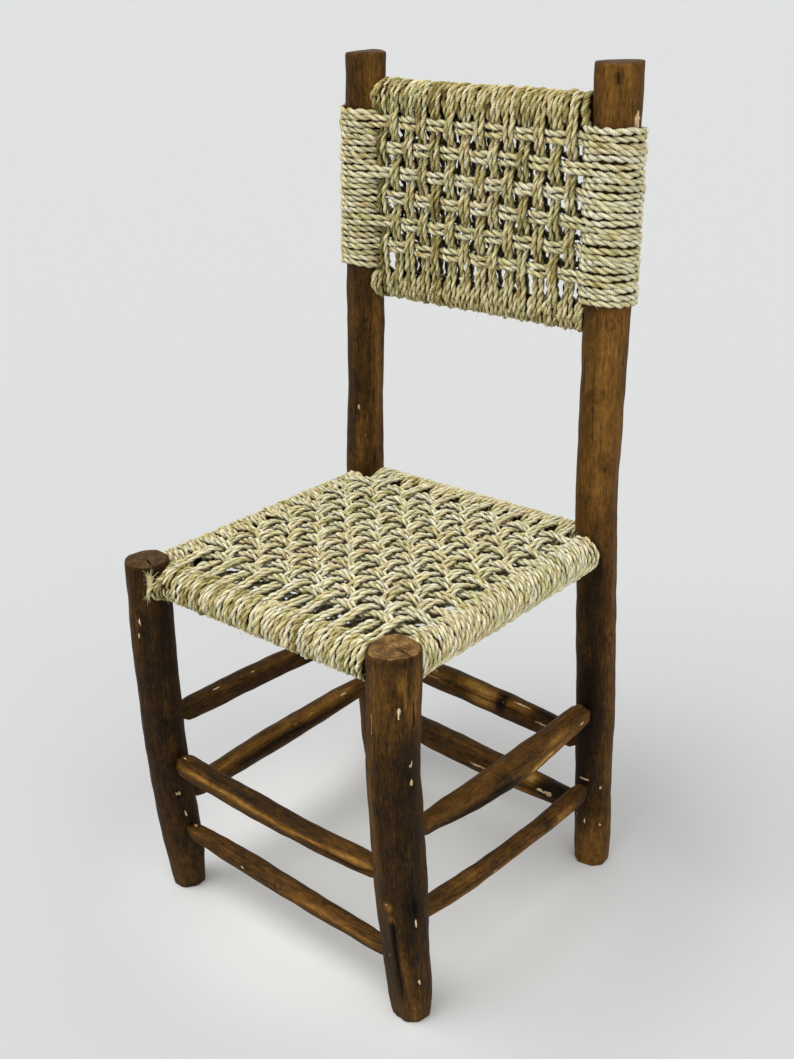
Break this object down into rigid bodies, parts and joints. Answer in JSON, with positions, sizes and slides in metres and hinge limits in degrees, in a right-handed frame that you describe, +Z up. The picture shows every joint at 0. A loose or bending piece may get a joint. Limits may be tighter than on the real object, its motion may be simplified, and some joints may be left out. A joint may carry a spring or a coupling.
{
  "type": "stick chair",
  "caption": "High-backed side chair of dark stained branches with turned-in stick rungs and a seat and back panel woven from pairs of twisted seagrass rope.",
  "frame": {"origin": "on the floor, under the middle of the chair's outer box", "axes": "+Z up; +Y to the back of the chair; +X to the right as seen from the front"},
  "size_m": [0.4353, 0.4678, 1],
  "materials": {
    "stained_wood": "dark brown stain rubbed over hand-peeled branches, satin",
    "plain_wood": "peeled, unstained, matte",
    "seagrass_rope": "two-ply twisted seagrass, dry and matte"
  },
  "bodies": {
    "root": {"back_left_post": "stained_wood", "back_lower_rung": "stained_wood", "back_rail_rope": "seagrass_rope", "back_right_post": "stained_wood", "back_seat_rail": "plain_wood", "back_upper_rung": "stained_wood", "back_warp_front": "seagrass_rope", "back_warp_rear": "seagrass_rope", "back_weft_front": "seagrass_rope", "back_weft_rear": "seagrass_rope", "bottom_back_bar": "plain_wood", "bottom_bar_rope": "seagrass_rope", "front_left_leg": "stained_wood", "front_lower_rung": "stained_wood", "front_rail_rope": "seagrass_rope", "front_right_leg": "stained_wood", "front_seat_rail": "plain_wood", "front_upper_rung": "stained_wood", "left_lower_rung": "stained_wood", "left_post_rope": "seagrass_rope", "left_rail_rope": "seagrass_rope", "left_seat_rail": "plain_wood", "left_upper_rung": "stained_wood", "right_lower_rung": "stained_wood", "right_post_rope": "seagrass_rope", "right_rail_rope": "seagrass_rope", "right_seat_rail": "plain_wood", "right_upper_rung": "stained_wood", "seat_warp_top": "seagrass_rope", "seat_warp_under": "seagrass_rope", "seat_weft_top": "seagrass_rope", "seat_weft_under": "seagrass_rope", "top_back_bar": "plain_wood", "top_bar_rope": "seagrass_rope"}
  },
  "joints": []
}
